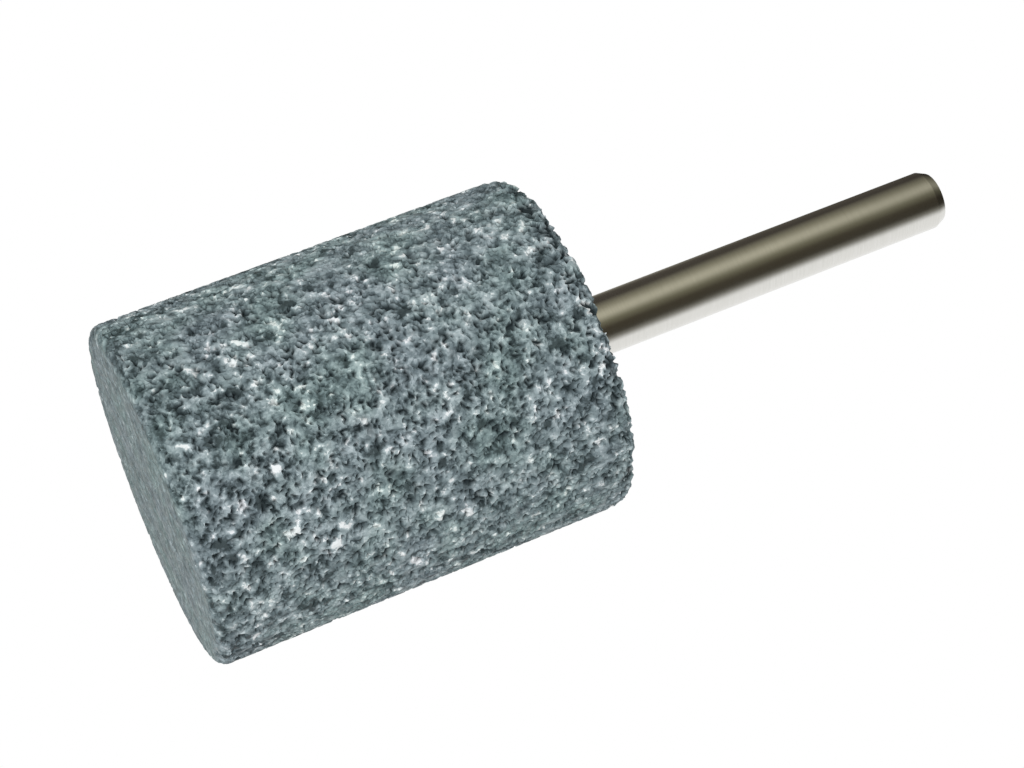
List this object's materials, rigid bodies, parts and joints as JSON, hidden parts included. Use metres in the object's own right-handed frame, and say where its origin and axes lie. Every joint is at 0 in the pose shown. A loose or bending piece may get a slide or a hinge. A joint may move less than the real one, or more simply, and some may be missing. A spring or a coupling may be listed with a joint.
{
  "type": "mounted grinding point",
  "caption": "Cylindrical vitrified abrasive head, coarse grain, cemented on a plain round steel shank for a collet.",
  "frame": {"origin": "centre of the head's flat free end, which the point stands on", "axes": "+Z along the axis of turning, from the head's free end to the shank's tip; X and Y across it"},
  "size_m": [0.034, 0.034, 0.085],
  "materials": {
    "abrasive": "coarse bonded grain, open pores, matt",
    "shank_steel": "ground and polished",
    "cement": "set cement, matt"
  },
  "bodies": {
    "root": {"grinding_head": "abrasive", "shank": "shank_steel", "cement": "cement"}
  },
  "joints": []
}
